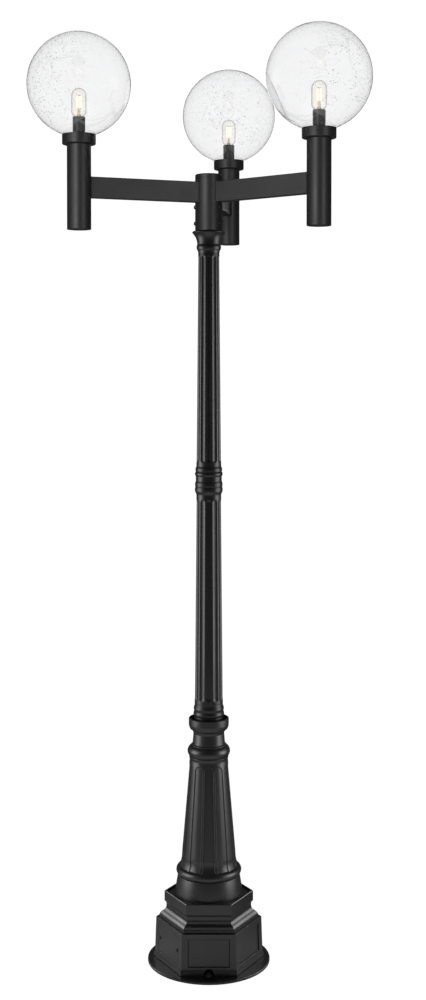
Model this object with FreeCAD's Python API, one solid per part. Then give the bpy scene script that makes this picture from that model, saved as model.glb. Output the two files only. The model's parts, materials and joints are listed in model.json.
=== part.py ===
import FreeCAD, Part

import math
import os

# Triple head lamp post. A six-sided cast plinth carries a fluted pedestal and a fluted shaft
# in two sections. A head with three arms sits on the shaft's tenon, and each arm ends in a
# lamp tube with a collar, a clear glass globe and a tubular bulb inside it.
# Millimetres, +Z up. The origin is on the post's axis at the ground, and the front is -Y.

# ---- Clearances -----------------------------------------------------------------------------
slip_gap = 0.3              # radial gap of a spigot or neck in its bore
seat_gap = 0.2              # height of the gap under a piece that turns or lifts off its seat
weld_gap = 0.2              # gap that the weld fills where an arm is coped to a tube
screw_gap = 0.25            # radial gap of a screw in its hole

# ---- Plinth: a six-sided casting on a round flange ------------------------------------------
# Its half widths are from the axis to the middle of a side.
plinth_sides = 6
flange_r = 186.7
flange_h = 7.0
flange_edge_r = 2.5
flange_hole_r = 112.0
foot_half_w = 145.9         # moulding at the foot of the body
foot_h = 10.6
foot_bevel_h = 8.4
body_foot_half_w = 142.9
body_top_half_w = 139.7
body_h = 104.0
ledge_half_w = 131.6        # ogee above the ledge
ledge_lip_h = 3.0
ogee_h = 32.0
waist_half_w = 112.6
waist_h = 5.0
cove_h = 9.0
rim_half_w = 117.7
rim_h = 31.5
rim_edge_r = 1.5
rim_w = 6.5
rim_recess = 4.0
plinth_wall = 7.0
top_plate_t = 8.5
conduit_hole_r = 60.0       # way for the supply wires, up through the post

# Recessed panels on the plinth's sides
panel_margin = 18.0
panel_foot = 6.0
panel_h = 84.0
panel_depth = 3.0
panel_bevel = 1.0
door_side = 210.0           # direction of the side with the wiring door, in degrees

# Anchor bolts: a notch in every second side gives room for the washer and nut
anchor_count = 3
anchor_circle_d = 279.4
anchor_bolt_d = 12.7
anchor_clearance = 1.6      # hole diameter beyond the bolt's
anchor_front = 270.0        # direction of the first bolt
notch_w = 31.0
notch_h = 21.5
notch_back = 17.0           # from the bolt to the notch's inner wall
notch_wall = 5.0
boss_foot_r = 13.5
boss_top_r = 11.0
boss_h = 6.0

# ---- Wiring door ----------------------------------------------------------------------------
door_gap = 0.5
door_t = 2.8
door_ledge = 16.0
door_edge_r = 1.0
door_screw_inset = 9.0
door_screw_r = 2.4
door_screw_l = 9.0
door_head_r = 4.4
door_head_h = 2.6
door_head_rim_h = 1.0       # upright rim of the head, below its crown
door_head_crown = 0.65
door_slot_w = 0.8
door_slot_floor = 1.4       # above the head's underside
door_screw_end_gap = 0.5
door_pad_r = 7.5
door_pad_h = 6.0

# ---- Pedestal: skirt, torus, fluted cone, upper torus, neck and cup --------------------------
skirt_foot_r = 102.7
skirt_top_r = 94.2
skirt_h = 58.5
skirt_swell = 1.0
torus_r = 99.6
torus_root_r = 90.5
torus_h = 26.0
cone_foot_r = 84.4
flare_h = 33.0
flare_hollow = 2.2
cone_top_r = 59.2
cone_h = 288.0
ring_r = 60.0
ring_h = 15.0
ring_edge_h = 2.0
ring_hollow = 0.8
cap_torus_r = 65.1
cap_torus_root_r = 57.0
cap_torus_h = 32.0
step_r = 53.4
step_h = 6.0
step_bevel_h = 2.0
neck_foot_r = 50.0
neck_top_r = 47.1
neck_h = 32.0
cup_r = 61.3
cup_foot_hollow = 2.2
cup_shoulder_r = 57.0
cup_shoulder_h = 14.0
cup_shoulder_swell = 1.4
cup_flare_h = 31.0
cup_rim_h = 16.0
cup_rim_bevel = 1.5
cup_wall = 5.0
cup_depth = 22.0
pedestal_wall = 6.0
pedestal_floor_t = 9.0
cone_flutes = 12
cone_flute_angle = 26.0     # width of a flute seen from the axis, in degrees
cone_flute_slope = 1.0      # how far a flute's side leans outward for its depth
cone_flute_depth = 2.4
cone_flute_margin = 7.0

# Screws that hold the pedestal, from inside the plinth
pedestal_screw_count = 3
pedestal_screw_circle_r = 80.0
pedestal_screw_r = 4.0
pedestal_screw_end_gap = 1.5
hex_head_across = 13.0
hex_head_h = 5.3

# ---- Shaft, in two sections ------------------------------------------------------------------
spigot_r = 36.0             # foot of the shaft, in the pedestal's neck
spigot_l = 70.0
shaft_bore_r = 28.0
foot_ring_r = 45.2
foot_ring_h = 28.0
foot_bead_r = 46.6
foot_groove_r = 44.3
foot_bead_h = 16.0
foot_bead_inset = 0.6
foot_cove_h = 9.0
foot_cove_hollow = 0.3
shaft_foot_r = 43.3
lower_taper_h = 631.0
shaft_mid_r = 37.9
joint_cove_h = 9.0
joint_cove_r = 39.4
joint_cove_hollow = 0.6
joint_bead_h = 20.0
joint_r = 41.0
joint_bead_swell = 2.4
upper_bead_h = 17.0
upper_bead_swell = 1.8
upper_waist_r = 39.7
upper_waist_h = 15.0
second_bead_h = 14.0
second_bead_swell = 2.7
third_bead_h = 15.0
third_bead_swell = 1.8
third_bead_inset = 1.3
upper_cove_h = 5.0
upper_cove_hollow = 0.3
upper_taper_h = 639.5
shaft_top_r = 32.4
astragal_cove_h = 12.0
astragal_cove_hollow = 0.8
astragal_r = 34.0
astragal_h = 18.0
astragal_swell = 2.7
bell_foot_r = 35.4
bell_r = 50.5
bell_h = 35.5
bell_hollow = 4.2
bell_rim_h = 5.0
bell_rim_bevel = 3.0
upper_bore_r = 24.5
tenon_r = 38.1
tenon_h = 82.5
tenon_bevel = 1.5
shaft_flutes = 12
shaft_flute_angle = 24.0
shaft_flute_foot_depth = 2.9
shaft_flute_top_depth = 2.2
flute_end_margin = 8.0      # plain shaft left beyond a flute's end

# Tube that joins the two sections inside
coupling_r = 30.5
coupling_bore_r = 26.0
coupling_l = 160.0

# ---- Head ------------------------------------------------------------------------------------
lamp_count = 3
lamp_circle_r = 406.4       # hub axis to lamp axis
first_arm = 200.6           # direction of the first arm, in degrees
hub_r = 41.5
hub_bore_r = 38.6
hub_h = 160.0
hub_cap_h = 11.5
hub_cap_edge_r = 4.0
cap_spigot_h = 8.0
wire_hole_r = 10.0
set_screw_r = 4.0
set_screw_head_across = 10.0
set_screw_head_h = 5.0
set_screw_tip_gap = 0.3
set_screw_low = 21.7        # heights above the hub's foot
set_screw_high = 71.0
arm_w = 27.0
arm_h = 62.0
arm_wall = 3.0
arm_edge_r = 2.0
arm_foot = 85.5             # underside of the arms above the hub's foot

# ---- Lamp: tube, collar and socket -------------------------------------------------------------
lamp_tube_r = 35.5
lamp_tube_wall = 3.0
tube_drop = 82.5            # lamp tube below the arm, without its end cap
tube_rise = 93.0            # lamp tube above the arm
end_cap_h = 11.0
end_cap_edge_r = 1.5
collar_r = 49.5
collar_h = 29.5
collar_wall = 3.0
collar_floor_t = 4.0
collar_foot_edge_r = 3.0
collar_top_edge_r = 1.2
collar_spigot_h = 8.0
collar_spigot_wall = 3.5
collar_screw_count = 3
collar_screw_angle = 60.0   # direction of the first screw from the arm's, in degrees
collar_screw_r = 2.0
collar_screw_up = 15.0
collar_screw_tip_gap = 0.4
collar_screw_proud = 0.4
gasket_t = 2.0
gasket_w = 7.0
sleeve_r = 18.5
sleeve_wall = 1.4
sleeve_above_collar = 51.0
nipple_r = 4.8
nipple_bore_r = 3.4
nipple_below = 9.0
nut_across = 17.0
nut_h = 4.0
socket_r = 16.6
socket_bore_r = 14.2
socket_below_sleeve = 1.5
wire_slot_r = 2.0
shell_wall = 0.5
shell_l = 22.0
contact_r = 4.0
contact_h = 1.2

# ---- Globe -------------------------------------------------------------------------------------
globe_r = 152.4
globe_wall = 3.0
globe_neck_r = 45.5
globe_clear = 0.6           # gap between the globe and the collar's top

# ---- Bulb --------------------------------------------------------------------------------------
bulb_r = 22.25
bulb_wall = 0.9
bulb_h = 84.5               # glass above the sleeve
bulb_neck_r = 12.4
bulb_shoulder_h = 17.0
base_r = 13.1
base_l = 27.0
base_tip_r = 5.0
base_tip_h = 4.0
stem_foot_r = 9.0
stem_rod_r = 1.6
stem_l = 26.0
stem_flare_h = 14.0
filament_count = 4
filament_r = 0.9
filament_l = 36.0
filament_circle_r = 6.0
spider_r = 7.4
spider_t = 0.8

# ---- Heights, worked out from the sizes above ----------------------------------------------------
body_z = flange_h + foot_h + foot_bevel_h
ledge_z = body_z + body_h
ogee_z = ledge_z + ledge_lip_h
waist_z = ogee_z + ogee_h
rim_z = waist_z + waist_h + cove_h
plinth_top_z = rim_z + rim_h
pedestal_z = plinth_top_z - rim_recess
torus_z = pedestal_z + skirt_h
flare_z = torus_z + torus_h
cone_z = flare_z + flare_h
cone_top_z = cone_z + cone_h
cap_torus_z = cone_top_z + ring_h
step_z = cap_torus_z + cap_torus_h
neck_z = step_z + step_h
cup_z = neck_z + neck_h
cup_top_z = cup_z + cup_flare_h + cup_rim_h
shaft_z = cup_top_z - cup_depth
shaft_flute_z = shaft_z + foot_ring_h + 2 * foot_bead_h + foot_cove_h
lower_taper_top_z = shaft_flute_z + lower_taper_h
joint_z = lower_taper_top_z + joint_cove_h + joint_bead_h
upper_taper_z = (joint_z + upper_bead_h + upper_waist_h + second_bead_h + third_bead_h
                 + upper_cove_h)
upper_taper_top_z = upper_taper_z + upper_taper_h
bell_z = upper_taper_top_z + astragal_cove_h + astragal_h
capital_z = bell_z + bell_h + bell_rim_h
hub_z = capital_z + seat_gap
hub_top_z = hub_z + hub_h
arm_z = hub_z + arm_foot
arm_mid_z = arm_z + arm_h / 2
tube_z = arm_z - tube_drop
tube_top_z = arm_z + arm_h + tube_rise
collar_top_z = tube_top_z + collar_h
cup_floor_z = tube_top_z + collar_floor_t
sleeve_top_z = collar_top_z + sleeve_above_collar
globe_foot_z = cup_floor_z + gasket_t + seat_gap
globe_neck_top_z = collar_top_z + globe_clear
globe_mid_z = globe_neck_top_z + math.sqrt(globe_r ** 2 - globe_neck_r ** 2)
bulb_z = sleeve_top_z
bulb_top_z = bulb_z + bulb_h
base_z = bulb_z - base_l
socket_z = cup_floor_z + nut_h
socket_top_z = sleeve_top_z - socket_below_sleeve
socket_bore_z = base_z - seat_gap - contact_h

UP = FreeCAD.Vector(0, 0, 1)
CENTRE = FreeCAD.Vector(0, 0, 0)


# ---- Drawing and placing helpers -----------------------------------------------------------------
class Outline:
    """A side outline drawn upward, as distances from the axis and heights."""

    def __init__(self, reach, height):
        self.edges = []
        self.start = FreeCAD.Vector(reach, 0, height)
        self.here = self.start

    def line(self, reach, height):
        there = FreeCAD.Vector(reach, 0, height)
        if (there - self.here).Length > 1e-6:
            self.edges.append(Part.makeLine(self.here, there))
        self.here = there
        return self

    def bow(self, reach, height, swell):
        """An arc that stands out from its chord by swell; a hollow has a negative swell."""
        there = FreeCAD.Vector(reach, 0, height)
        chord = there - self.here
        outward = FreeCAD.Vector(chord.z, 0, -chord.x).normalize()
        middle = (self.here + there) * 0.5 + outward * swell
        self.edges.append(Part.Arc(self.here, middle, there).toShape())
        self.here = there
        return self

    def upright(self, reach, height, side):
        """An arc that is upright at one end; side is 1 to bulge outward and -1 to hollow."""
        there = FreeCAD.Vector(reach, 0, height)
        chord = there - self.here
        half_turn = math.atan2(abs(chord.x), chord.z)
        return self.bow(reach, height, side * chord.Length / 2 * math.tan(half_turn / 2))

    def arc(self, via_reach, via_height, reach, height):
        there = FreeCAD.Vector(reach, 0, height)
        via = FreeCAD.Vector(via_reach, 0, via_height)
        self.edges.append(Part.Arc(self.here, via, there).toShape())
        self.here = there
        return self

    def turned(self):
        """The solid of revolution between the outline and the axis."""
        start = self.start
        self.line(0, self.here.z)
        self.line(0, start.z)
        self.line(start.x, start.z)
        return Part.Face(Part.Wire(self.edges)).revolve(CENTRE, UP, 360)

    def sided(self, sides):
        """The solid with flat sides, mitred at the corners, that has this outline on each side."""
        across = FreeCAD.Vector(1, 0, 0)
        mirrored = [edge.mirror(CENTRE, across) for edge in self.edges]
        left_start = FreeCAD.Vector(-self.start.x, 0, self.start.z)
        left_end = FreeCAD.Vector(-self.here.x, 0, self.here.z)
        ends = [Part.makeLine(self.start, left_start), Part.makeLine(self.here, left_end)]
        wire = Part.Wire(Part.__sortEdges__(self.edges + mirrored + ends))
        reach = 2 * max(edge.BoundBox.XMax for edge in self.edges)
        slab = Part.Face(wire).extrude(FreeCAD.Vector(0, 2 * reach, 0))
        slab.translate(FreeCAD.Vector(0, -reach, 0))
        turn = 360 / sides
        slabs = [turned_to(slab, turn * (k + 0.5)) for k in range(sides // 2)]
        body = slabs[0]
        for other in slabs[1:]:
            body = body.common(other)
        return body


def turned_to(shape, angle):
    """A copy of a shape that is drawn towards +X, turned to a direction in degrees."""
    copy = shape.copy()
    copy.rotate(CENTRE, UP, angle)
    return copy


def around(shape, count, first=0.0):
    """Copies of a shape spaced evenly about the axis."""
    return [turned_to(shape, first + k * 360 / count) for k in range(count)]


def rod(radius, foot_z, top_z, x=0.0, y=0.0):
    return Part.makeCylinder(radius, top_z - foot_z, FreeCAD.Vector(x, y, foot_z), UP)


def radial_rod(radius, from_r, to_r, height):
    """A round bar or hole along +X."""
    start = FreeCAD.Vector(from_r, 0, height)
    return Part.makeCylinder(radius, to_r - from_r, start, FreeCAD.Vector(1, 0, 0))


def hexagon_bar(across_flats, length):
    """A hexagonal bar that stands on the origin along +Z."""
    corner_r = across_flats / math.sqrt(3)
    corners = [FreeCAD.Vector(corner_r * math.cos(math.radians(60 * k)),
                              corner_r * math.sin(math.radians(60 * k)), 0) for k in range(7)]
    return Part.Face(Part.makePolygon(corners)).extrude(FreeCAD.Vector(0, 0, length))


def edges_along(shape, axis):
    """The straight edges that run along an axis."""
    chosen = []
    for edge in shape.Edges:
        if isinstance(edge.Curve, Part.Line) and edge.tangentAt(0).cross(axis).Length < 1e-6:
            chosen.append(edge)
    return chosen


def rectangle(width, foot, height, depth):
    """A rectangle on a side of the plinth: x across, y up the side, z outward."""
    half = width / 2
    top = foot + height
    corners = [(-half, foot), (half, foot), (half, top), (-half, top), (-half, foot)]
    return Part.makePolygon([FreeCAD.Vector(x, y, depth) for x, y in corners])


# ---- Plinth --------------------------------------------------------------------------------------
def plinth_side_placement(angle):
    """The frame of one sloping side: x across it, y up it and z outward, from its foot."""
    lean = math.atan((body_foot_half_w - body_top_half_w) / body_h)
    out = FreeCAD.Vector(math.cos(math.radians(angle)), math.sin(math.radians(angle)), 0)
    across = UP.cross(out)
    up = UP * math.cos(lean) - out * math.sin(lean)
    normal = across.cross(up)
    foot = out * body_foot_half_w + UP * body_z
    return FreeCAD.Placement(FreeCAD.Matrix(across.x, up.x, normal.x, foot.x,
                                            across.y, up.y, normal.y, foot.y,
                                            across.z, up.z, normal.z, foot.z,
                                            0, 0, 0, 1))


def on_side(shape, angle):
    placed = shape.copy()
    placed.Placement = plinth_side_placement(angle).multiply(placed.Placement)
    return placed


def panel_width():
    """Width of a side's recessed panel and of the door."""
    side_w = 2 * body_top_half_w * math.tan(math.pi / plinth_sides)
    return side_w - 2 * panel_margin


def door_screw_x():
    return panel_width() / 2 - door_screw_inset


def panel_recess():
    """A shallow rectangular recess with bevelled edges."""
    width = panel_width()
    mouth = rectangle(width, panel_foot, panel_h, 0)
    floor = rectangle(width - 2 * panel_bevel, panel_foot + panel_bevel,
                      panel_h - 2 * panel_bevel, -panel_depth)
    above = rectangle(width, panel_foot, panel_h, panel_depth)
    bevelled = Part.makeLoft([floor, mouth], True, True)
    return bevelled.fuse(Part.makeLoft([mouth, above], True, True))


def door_opening():
    """The recess that the door sits in, and the smaller opening through the wall."""
    width = panel_width()
    deep = 4 * plinth_wall
    recess = Part.Face(rectangle(width, panel_foot, panel_h, -door_t - seat_gap))
    recess = recess.extrude(FreeCAD.Vector(0, 0, deep))
    opening = Part.Face(rectangle(width - 2 * door_ledge, panel_foot + door_ledge,
                                  panel_h - 2 * door_ledge, -deep))
    return recess.fuse(opening.extrude(FreeCAD.Vector(0, 0, deep)))


def door_screw_pads():
    """Round pads behind the door's ledge, which the screws go into."""
    top = -door_t - seat_gap
    pads = []
    for side in (-1, 1):
        spot = FreeCAD.Vector(side * door_screw_x(), panel_foot + panel_h / 2,
                              -plinth_wall - door_pad_h)
        pads.append(Part.makeCylinder(door_pad_r, plinth_wall + door_pad_h + top, spot))
    return pads


def door_screw_holes(reach):
    holes = []
    for side in (-1, 1):
        spot = FreeCAD.Vector(side * door_screw_x(), panel_foot + panel_h / 2,
                              -door_t - door_screw_l)
        holes.append(Part.makeCylinder(door_screw_r + screw_gap, door_screw_l + reach, spot))
    return holes


def arch(width, foot_z, top_z, from_r, to_r):
    """A round-topped block along +X, for the notches over the anchor bolts."""
    half = width / 2
    low_left = FreeCAD.Vector(from_r, -half, foot_z)
    low_right = FreeCAD.Vector(from_r, half, foot_z)
    spring_left = FreeCAD.Vector(from_r, -half, top_z - half)
    spring_right = FreeCAD.Vector(from_r, half, top_z - half)
    crown = FreeCAD.Vector(from_r, 0, top_z)
    edges = [Part.makeLine(low_left, low_right),
             Part.makeLine(low_right, spring_right),
             Part.Arc(spring_right, crown, spring_left).toShape(),
             Part.makeLine(spring_left, low_left)]
    return Part.Face(Part.Wire(edges)).extrude(FreeCAD.Vector(to_r - from_r, 0, 0))


def base_plinth():
    flange = Outline(flange_r, 0).line(flange_r, flange_h - flange_edge_r)
    bulge = flange_edge_r * (1 - math.sqrt(0.5))
    flange.arc(flange_r - bulge, flange_h - bulge, flange_r - flange_edge_r, flange_h)
    flange = flange.turned().cut(rod(flange_hole_r, -1, flange_h + 1))

    middle_w = (ledge_half_w + waist_half_w) / 2
    middle_z = ogee_z + ogee_h / 2
    outer = Outline(foot_half_w, flange_h / 2).line(foot_half_w, flange_h + foot_h)
    outer.line(body_foot_half_w, body_z).line(body_top_half_w, ledge_z)
    outer.line(ledge_half_w, ledge_z).line(ledge_half_w, ogee_z)
    outer.upright(middle_w, middle_z, 1).upright(waist_half_w, waist_z, -1)
    outer.line(waist_half_w, waist_z + waist_h).upright(rim_half_w, rim_z, -1)
    outer.line(rim_half_w, plinth_top_z - rim_edge_r)
    outer.line(rim_half_w - rim_edge_r, plinth_top_z)
    body = outer.sided(plinth_sides)

    hollow = Outline(body_foot_half_w - plinth_wall, 0).line(body_foot_half_w - plinth_wall,
                                                             body_z)
    hollow.line(body_top_half_w - plinth_wall, ledge_z - plinth_wall)
    hollow.line(ledge_half_w - plinth_wall, ledge_z - plinth_wall)
    hollow.line(waist_half_w - plinth_wall, waist_z - plinth_wall)
    hollow.line(waist_half_w - plinth_wall, pedestal_z - top_plate_t)
    body = body.cut(hollow.sided(plinth_sides))
    well = Outline(rim_half_w - rim_w, pedestal_z).line(rim_half_w - rim_w, plinth_top_z + 1)
    body = body.cut(well.sided(plinth_sides))
    body = body.cut(rod(conduit_hole_r, waist_z, plinth_top_z))
    screw_hole = rod(pedestal_screw_r + screw_gap, waist_z, plinth_top_z,
                     x=pedestal_screw_circle_r)
    for hole in around(screw_hole, pedestal_screw_count):
        body = body.cut(hole)

    bolt_r = anchor_circle_d / 2
    back_r = bolt_r - notch_back
    notch_top_z = flange_h + notch_h
    wall_r = body_foot_half_w - plinth_wall / 2
    hood = arch(notch_w + 2 * notch_wall, flange_h / 2, notch_top_z + notch_wall,
                back_r - notch_wall, wall_r)
    notch = arch(notch_w, flange_h, notch_top_z, back_r, foot_half_w + 1)
    boss = Outline(boss_foot_r, flange_h / 2).line(boss_foot_r, flange_h)
    boss = boss.line(boss_top_r, flange_h + boss_h).turned()
    boss.translate(FreeCAD.Vector(bolt_r, 0, 0))
    bolt_hole = rod((anchor_bolt_d + anchor_clearance) / 2, -1, notch_top_z, x=bolt_r)
    plinth = flange.fuse(body)
    for shape in around(hood, anchor_count, anchor_front):
        plinth = plinth.fuse(shape)
    for shape in around(notch, anchor_count, anchor_front):
        plinth = plinth.cut(shape)
    for shape in around(boss, anchor_count, anchor_front):
        plinth = plinth.fuse(shape)
    for shape in around(bolt_hole, anchor_count, anchor_front):
        plinth = plinth.cut(shape)

    recess = panel_recess()
    for k in range(plinth_sides):
        angle = door_side + k * 360 / plinth_sides
        if k > 0:
            plinth = plinth.cut(on_side(recess, angle))
    for pad in door_screw_pads():
        plinth = plinth.fuse(on_side(pad, door_side))
    plinth = plinth.cut(on_side(door_opening(), door_side))
    for hole in door_screw_holes(0):
        plinth = plinth.cut(on_side(hole, door_side))
    return plinth.removeSplitter()


def access_door():
    plate = Part.Face(rectangle(panel_width() - 2 * door_gap, panel_foot + door_gap,
                                panel_h - 2 * door_gap, -door_t))
    plate = plate.extrude(FreeCAD.Vector(0, 0, door_t))
    front_edges = [edge for edge in plate.Edges if edge.BoundBox.ZMin > -1e-6]
    plate = plate.makeChamfer(door_edge_r, front_edges)
    for hole in door_screw_holes(door_t + 1):
        plate = plate.cut(hole)
    return on_side(plate, door_side)


def door_screws():
    """Two pan-head screws that stay in the door when it is taken off."""
    screws = []
    for side in (-1, 1):
        head = Outline(door_head_r, seat_gap).line(door_head_r, seat_gap + door_head_rim_h)
        screw = head.bow(0, seat_gap + door_head_h, door_head_crown).turned()
        slot = Part.makeBox(2 * door_head_r, door_slot_w, door_head_h,
                            FreeCAD.Vector(-door_head_r, -door_slot_w / 2,
                                           seat_gap + door_slot_floor))
        shank = rod(door_screw_r, door_screw_end_gap - door_t - door_screw_l,
                    seat_gap + door_head_rim_h / 2)
        screw = screw.cut(slot).fuse(shank)
        screw.translate(FreeCAD.Vector(side * door_screw_x(), panel_foot + panel_h / 2, 0))
        screws.append(on_side(screw, door_side))
    return Part.makeCompound(screws)


# ---- Pedestal ------------------------------------------------------------------------------------
def cone_r(height):
    """Outer radius of the pedestal's straight cone at a height."""
    share = (height - cone_z) / cone_h
    return cone_foot_r + (cone_top_r - cone_foot_r) * share


def cone_flute():
    """The cutter of one flute with sloping sides and an arched top, towards +X."""
    half_angle = math.radians(cone_flute_angle / 2)
    top_z = cone_top_z - cone_flute_margin
    spring_z = top_z - cone_r(top_z) * math.sin(half_angle)

    def reaches(surface_r):
        """The cutter's inner and outer reach at a height, each with its half width."""
        pairs = []
        for reach in (surface_r - 4 * cone_flute_depth, surface_r + cone_flute_depth):
            lean = (reach - surface_r * math.cos(half_angle)) * cone_flute_slope
            pairs.append((reach, surface_r * math.sin(half_angle) + lean))
        return pairs

    sections = []
    for surface_r, z in ((torus_root_r, flare_z), (cone_foot_r, cone_z),
                         (cone_r(spring_z), spring_z)):
        (near, near_w), (far, far_w) = reaches(surface_r)
        corners = [(near, -near_w), (far, -far_w), (far, far_w), (near, near_w), (near, -near_w)]
        sections.append(Part.makePolygon([FreeCAD.Vector(x, y, z) for x, y in corners]))
    (near, near_w), (far, far_w) = reaches(cone_r(spring_z))
    arch_end = Part.makeCone(near_w, far_w, far - near, FreeCAD.Vector(near, 0, spring_z),
                             FreeCAD.Vector(1, 0, 0))
    return Part.makeLoft(sections, True, True).fuse(arch_end)


def fluted_pedestal():
    outer = Outline(skirt_foot_r, pedestal_z).bow(skirt_top_r, torus_z, skirt_swell)
    outer.line(torus_root_r, torus_z).bow(torus_root_r, flare_z, torus_r - torus_root_r)
    outer.bow(cone_foot_r, cone_z, -flare_hollow).line(cone_top_r, cone_top_z)
    outer.bow(ring_r, cap_torus_z - ring_edge_h, -ring_hollow).line(ring_r, cap_torus_z)
    outer.line(cap_torus_root_r, cap_torus_z)
    outer.bow(cap_torus_root_r, step_z, cap_torus_r - cap_torus_root_r)
    outer.line(step_r, step_z).line(step_r, neck_z - step_bevel_h)
    outer.line(neck_foot_r, neck_z)
    outer.line(neck_top_r, cup_z)
    outer.bow(cup_shoulder_r, cup_z + cup_shoulder_h, -cup_foot_hollow)
    outer.bow(cup_r, cup_z + cup_flare_h, cup_shoulder_swell)
    outer.line(cup_r, cup_top_z - cup_rim_bevel).line(cup_r - cup_rim_bevel, cup_top_z)
    solid = outer.turned()

    band = Outline(torus_root_r - cone_flute_depth, flare_z)
    band.bow(cone_foot_r - cone_flute_depth, cone_z, -flare_hollow)
    band.line(cone_top_r - cone_flute_depth, cone_top_z)
    sheath = rod(skirt_foot_r * 2, flare_z, cone_top_z).cut(band.turned())
    recess = sheath.common(cone_flute())
    solid = solid.cut(around(recess, cone_flutes, anchor_front))

    bore_r = spigot_r + slip_gap
    bore_z = shaft_z - spigot_l
    hollow = Outline(skirt_foot_r - pedestal_wall, pedestal_z + pedestal_floor_t)
    hollow.line(skirt_top_r - pedestal_wall, torus_z)
    hollow.line(cone_foot_r - pedestal_wall, flare_z)
    hollow.line(cone_foot_r - pedestal_wall - cone_flute_depth, cone_z)
    hollow.line(cone_top_r - pedestal_wall - cone_flute_depth, cone_top_z)
    hollow.line(bore_r, bore_z).line(bore_r, shaft_z)
    hollow.line(cup_r - cup_wall, shaft_z).line(cup_r - cup_wall, cup_top_z + 1)
    solid = solid.cut(hollow.turned())
    solid = solid.cut(rod(conduit_hole_r, pedestal_z - 1, pedestal_z + pedestal_floor_t + 1))
    screw_hole = rod(pedestal_screw_r + screw_gap, pedestal_z - 1,
                     pedestal_z + pedestal_floor_t + 1, x=pedestal_screw_circle_r)
    return solid.cut(around(screw_hole, pedestal_screw_count))


def pedestal_screws():
    """Hexagon-head screws up through the plinth's top plate into the pedestal's floor."""
    head_top_z = pedestal_z - top_plate_t
    head = hexagon_bar(hex_head_across, hex_head_h)
    head.translate(FreeCAD.Vector(pedestal_screw_circle_r, 0, head_top_z - hex_head_h))
    shank = rod(pedestal_screw_r, head_top_z - hex_head_h / 2,
                pedestal_z + pedestal_floor_t - pedestal_screw_end_gap,
                x=pedestal_screw_circle_r)
    return Part.makeCompound(around(head.fuse(shank), pedestal_screw_count))


# ---- Shaft ---------------------------------------------------------------------------------------
def round_flute(foot_r, foot_z, top_r, top_z):
    """One round-bottomed flute with round ends, towards +X, down a tapered shaft."""
    half_angle = math.radians(shaft_flute_angle / 2)

    def cutter(shaft_r, depth):
        half_chord = shaft_r * math.sin(half_angle)
        rise = depth - shaft_r * (1 - math.cos(half_angle))
        radius = (half_chord ** 2 + rise ** 2) / (2 * rise)
        run_out = math.sqrt(radius ** 2 - (radius - depth) ** 2)
        return radius, shaft_r - depth + radius, run_out

    foot_cut_r, foot_axis, foot_run = cutter(foot_r, shaft_flute_foot_depth)
    top_cut_r, top_axis, top_run = cutter(top_r, shaft_flute_top_depth)
    foot = FreeCAD.Vector(foot_axis, 0, foot_z + foot_run)
    top = FreeCAD.Vector(top_axis, 0, top_z - top_run)
    length = (top - foot).Length
    bar = Outline(0, -foot_cut_r)
    quarter = math.sqrt(0.5)
    bar.arc(foot_cut_r * quarter, -foot_cut_r * quarter, foot_cut_r, 0)
    bar.line(top_cut_r, length)
    bar.arc(top_cut_r * quarter, length + top_cut_r * quarter, 0, length + top_cut_r)
    bar = bar.turned()
    bar.rotate(CENTRE, FreeCAD.Vector(0, 1, 0), math.degrees(math.atan2(top.x - foot.x,
                                                                        top.z - foot.z)))
    bar.translate(foot)
    return bar


def lower_shaft():
    foot_top_z = shaft_z + foot_ring_h
    groove_z = foot_top_z + foot_bead_h
    beads_top_z = groove_z + foot_bead_h
    outer = Outline(spigot_r, shaft_z - spigot_l).line(spigot_r, shaft_z)
    outer.line(foot_ring_r, shaft_z).line(foot_ring_r, foot_top_z)
    outer.bow(foot_groove_r, groove_z, foot_bead_r - foot_groove_r)
    outer.bow(foot_groove_r - foot_bead_inset, beads_top_z, foot_bead_r - foot_groove_r)
    outer.bow(shaft_foot_r, shaft_flute_z, -foot_cove_hollow)
    outer.line(shaft_mid_r, lower_taper_top_z)
    outer.bow(joint_cove_r, lower_taper_top_z + joint_cove_h, -joint_cove_hollow)
    outer.bow(joint_r, joint_z, joint_bead_swell)
    solid = outer.turned()
    flute = round_flute(shaft_foot_r, shaft_flute_z + flute_end_margin,
                        shaft_mid_r, lower_taper_top_z - flute_end_margin)
    solid = solid.cut(around(flute, shaft_flutes, anchor_front))
    solid = solid.cut(rod(shaft_bore_r, shaft_z - spigot_l - 1, joint_z + 1))
    return solid.cut(rod(coupling_r + slip_gap, joint_z - coupling_l / 2, joint_z + 1))


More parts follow.
